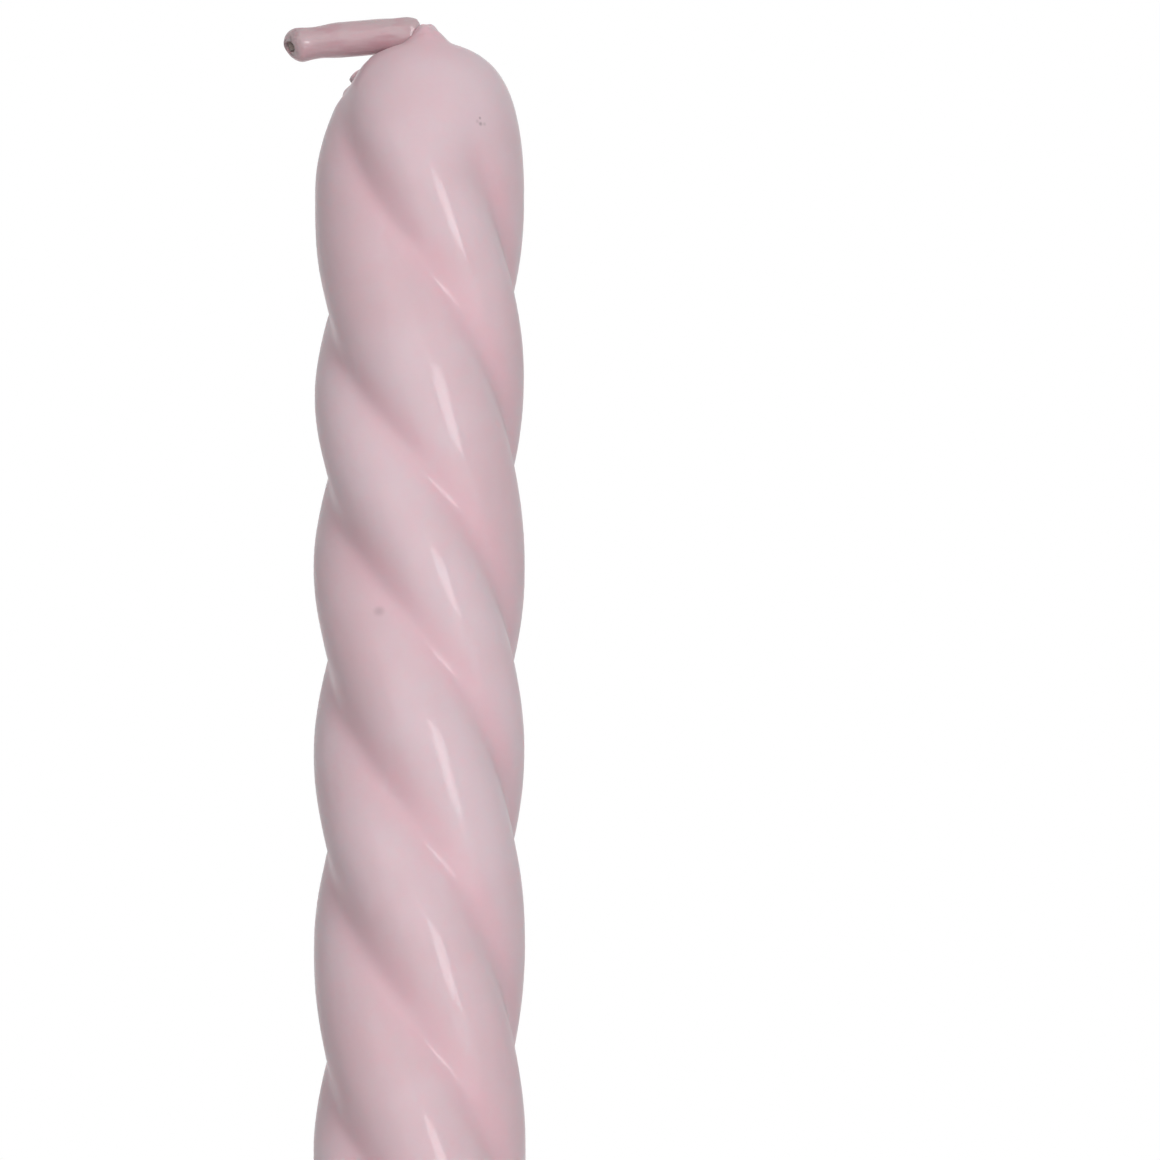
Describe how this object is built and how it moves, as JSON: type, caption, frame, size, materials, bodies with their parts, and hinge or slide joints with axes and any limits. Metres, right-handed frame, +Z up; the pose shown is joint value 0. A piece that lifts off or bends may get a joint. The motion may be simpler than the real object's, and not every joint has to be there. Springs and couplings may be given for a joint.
{
  "type": "twisted candle on a cane",
  "caption": "Slender twisted wax candle with a plain round foot, carried on a bamboo cane that is pushed into soil or a holder; its bent wick straightens for lighting.",
  "frame": {"origin": "middle of the cane's square-cut foot, where the candle is pushed into its bed or holder", "axes": "+Z up along the cane and candle, -X towards the bent wick's tip, +Y away from the picture's viewer"},
  "size_m": [0.0331, 0.022, 0.795],
  "materials": {
    "wax": "satin",
    "wick_wax": "satin",
    "wick_cotton": "matte",
    "cane": "satin"
  },
  "bodies": {
    "candle": {"bamboo_cane": "cane", "cane_setting_wax": "wax", "wax_body": "wax", "wick": "wick_cotton"},
    "wick_tip": {"wick_stub": "wick_cotton", "wick_wax_coat": "wick_wax"}
  },
  "joints": [
    {"name": "wick_bend", "type": "hinge", "parent": "candle", "child": "wick_tip", "pos_m": [-0.0146, 0, 0.7931], "axis": [0, 1, 0], "range_deg": [0, 90]}
  ]
}
